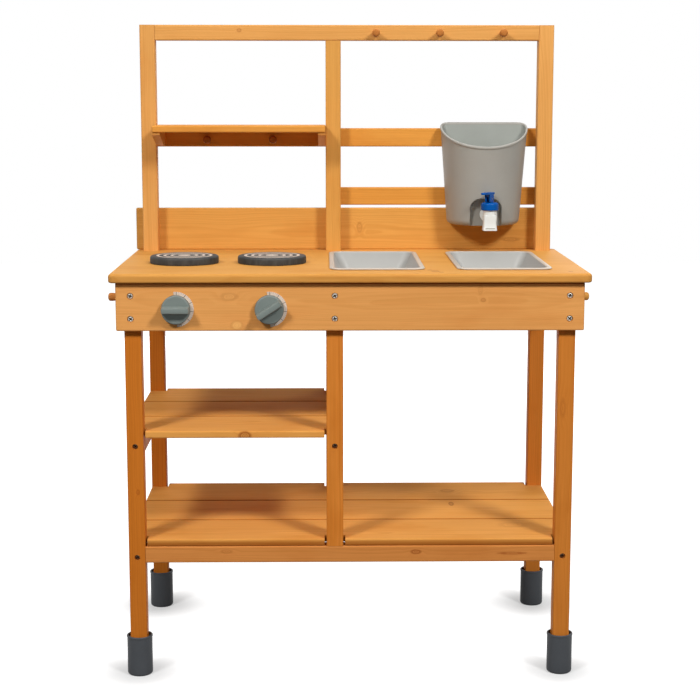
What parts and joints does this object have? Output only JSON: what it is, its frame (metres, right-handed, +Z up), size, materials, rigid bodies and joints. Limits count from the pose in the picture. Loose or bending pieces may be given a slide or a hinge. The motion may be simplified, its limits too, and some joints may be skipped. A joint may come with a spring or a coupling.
{
  "type": "play mud kitchen",
  "caption": "Free-standing wooden outdoor play kitchen with hobs, knobs, lift-out sinks, hanging water tank with tap, pegs and slatted shelves.",
  "frame": {"origin": "middle of the footprint on the ground, under the centre of the overall box", "axes": "+X to the right seen from the front, +Y to the back frame, +Z up"},
  "size_m": [0.754, 0.4172, 1.004],
  "materials": {
    "honey_wood": "honey stain, satin, fine softwood grain",
    "amber_wood": "darker orange stain, satin",
    "foot_cap": "dark grey moulded plastic",
    "hob_charcoal": "painted disc with pale printed rings",
    "knob_plastic": "blue-grey moulded plastic, satin",
    "sink_plastic": "pale grey moulded plastic",
    "tank_plastic": "warm grey moulded plastic",
    "tap_white": "off-white moulded plastic",
    "tap_blue": "bright blue moulded plastic",
    "seal_rubber": "black rubber washer",
    "zinc_steel": "bright zinc plate"
  },
  "bodies": {
    "kitchen_frame": {"front_left_leg": "amber_wood", "front_right_leg": "amber_wood", "front_centre_leg": "amber_wood", "back_left_leg": "amber_wood", "back_right_leg": "amber_wood", "back_centre_leg": "amber_wood", "front_left_foot_cap": "foot_cap", "front_right_foot_cap": "foot_cap", "back_left_foot_cap": "foot_cap", "back_right_foot_cap": "foot_cap", "front_apron": "honey_wood", "back_apron": "honey_wood", "left_apron": "honey_wood", "right_apron": "honey_wood", "lower_front_rail": "honey_wood", "lower_back_rail": "honey_wood", "lower_left_rail": "honey_wood", "lower_right_rail": "honey_wood", "middle_left_rail": "honey_wood", "middle_centre_rail": "honey_wood", "lower_shelf_front_plank": "honey_wood", "lower_shelf_middle_plank": "honey_wood", "lower_shelf_back_plank": "honey_wood", "middle_shelf_front_plank": "honey_wood", "middle_shelf_middle_plank": "honey_wood", "middle_shelf_back_plank": "honey_wood", "worktop": "honey_wood", "left_hob": "hob_charcoal", "right_hob": "hob_charcoal", "left_post": "honey_wood", "centre_post": "honey_wood", "right_post": "honey_wood", "top_rail": "honey_wood", "top_rail_peg_left": "amber_wood", "top_rail_peg_middle": "amber_wood", "top_rail_peg_right": "amber_wood", "left_side_peg": "amber_wood", "right_side_peg": "amber_wood", "splash_panel": "honey_wood", "lower_slat": "honey_wood", "upper_slat": "honey_wood", "small_shelf": "honey_wood", "left_bracket": "honey_wood", "right_bracket": "honey_wood"},
    "left_basin": {"left_sink": "sink_plastic"},
    "right_basin": {"right_sink": "sink_plastic"},
    "left_control": {"left_knob": "knob_plastic", "left_knob_axle": "zinc_steel"},
    "right_control": {"right_knob": "knob_plastic", "right_knob_axle": "zinc_steel"},
    "tank": {"water_tank": "tank_plastic", "tap_body": "tap_white", "tap_gasket": "seal_rubber", "tap_nut": "tap_white", "tap_collar": "tap_blue"},
    "stem": {"tap_stem": "tap_blue", "tap_spring": "zinc_steel", "tap_lever_pin": "zinc_steel"},
    "lever": {"tap_lever": "tap_blue"}
  },
  "joints": [
    {"name": "left_knob_turn", "type": "hinge", "parent": "kitchen_frame", "child": "left_control", "pos_m": [-0.26, -0.18575, 0.5732], "axis": [0, 1, 0], "continuous": true},
    {"name": "right_knob_turn", "type": "hinge", "parent": "kitchen_frame", "child": "right_control", "pos_m": [-0.121, -0.18575, 0.5732], "axis": [0, 1, 0], "continuous": true},
    {"name": "left_sink_lift", "type": "slide", "parent": "kitchen_frame", "child": "left_basin", "axis": [0, 0, 1], "range_m": [0, 0.08]},
    {"name": "right_sink_lift", "type": "slide", "parent": "kitchen_frame", "child": "right_basin", "axis": [0, 0, 1], "range_m": [0, 0.03]},
    {"name": "tank_lift", "type": "slide", "parent": "kitchen_frame", "child": "tank", "axis": [0, 0, 1], "range_m": [0, 0.06]},
    {"name": "tap_stem_rise", "type": "slide", "parent": "tank", "child": "stem", "axis": [0, 0, 1], "range_m": [0, 0.0025], "deforming": ["tap_spring"]},
    {"name": "tap_lever_press", "type": "hinge", "parent": "stem", "child": "lever", "pos_m": [0.2358, 0.10678, 0.7191], "axis": [0.8192, -0.5736, 0], "range_deg": [0, 35], "stiffness_Nm_per_rad": 0.05, "springref_deg": -22.92}
  ],
  "couplings": [
    {"joint": "tap_lever_press", "follows": "tap_stem_rise", "rad_per_m": 243.9}
  ]
}
